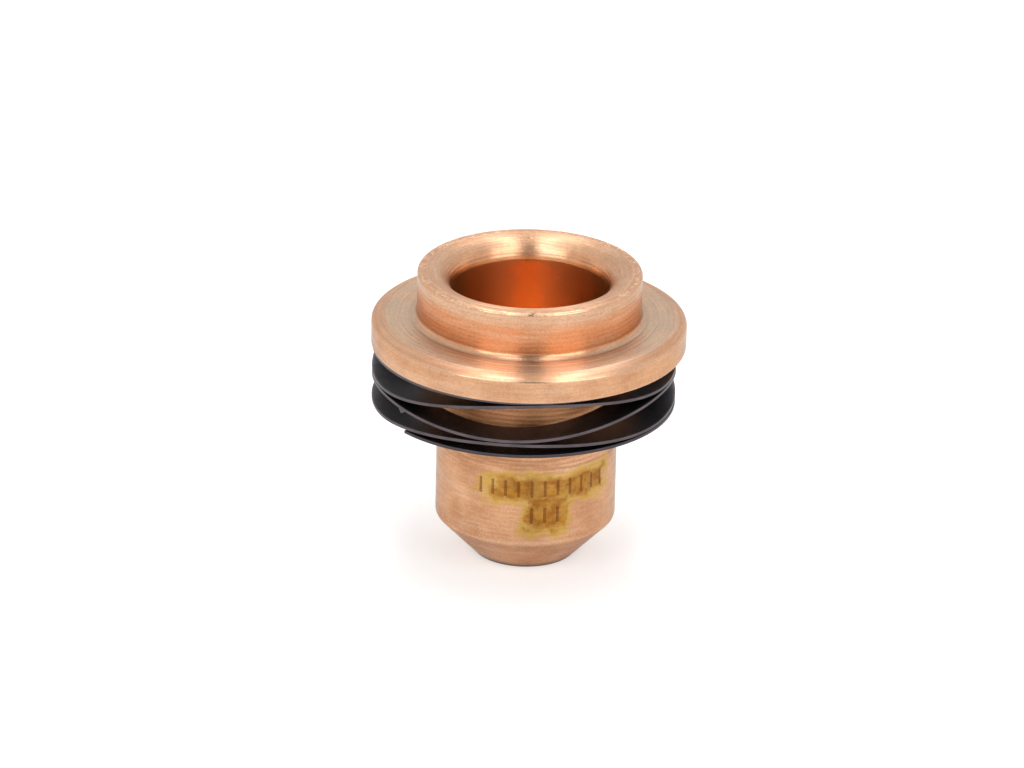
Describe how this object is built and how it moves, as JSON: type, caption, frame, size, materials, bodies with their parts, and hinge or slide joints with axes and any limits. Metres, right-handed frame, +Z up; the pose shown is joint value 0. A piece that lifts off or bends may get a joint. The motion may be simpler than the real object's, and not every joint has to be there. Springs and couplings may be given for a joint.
{
  "type": "plasma torch nozzle",
  "caption": "Turned copper torch nozzle with a flanged collar, a flared bore and a tapered tip, and a flat-wire wave spring held captive under its flange.",
  "frame": {"origin": "centre of the flat tip face, which is the lowest point, on the axis of revolution", "axes": "+Z up the axis of revolution, from the tip to the open mouth; -Y faces the viewer of the picture, +X is on the viewer's right"},
  "size_m": [0.025, 0.025, 0.0239],
  "materials": {
    "copper": "fine turned copper, with heat tint and dust specks",
    "spring_steel": "dark oxidised spring steel with paler worn edges"
  },
  "bodies": {
    "root": {"nozzle_body": "copper", "wave_spring": "spring_steel"}
  },
  "joints": []
}
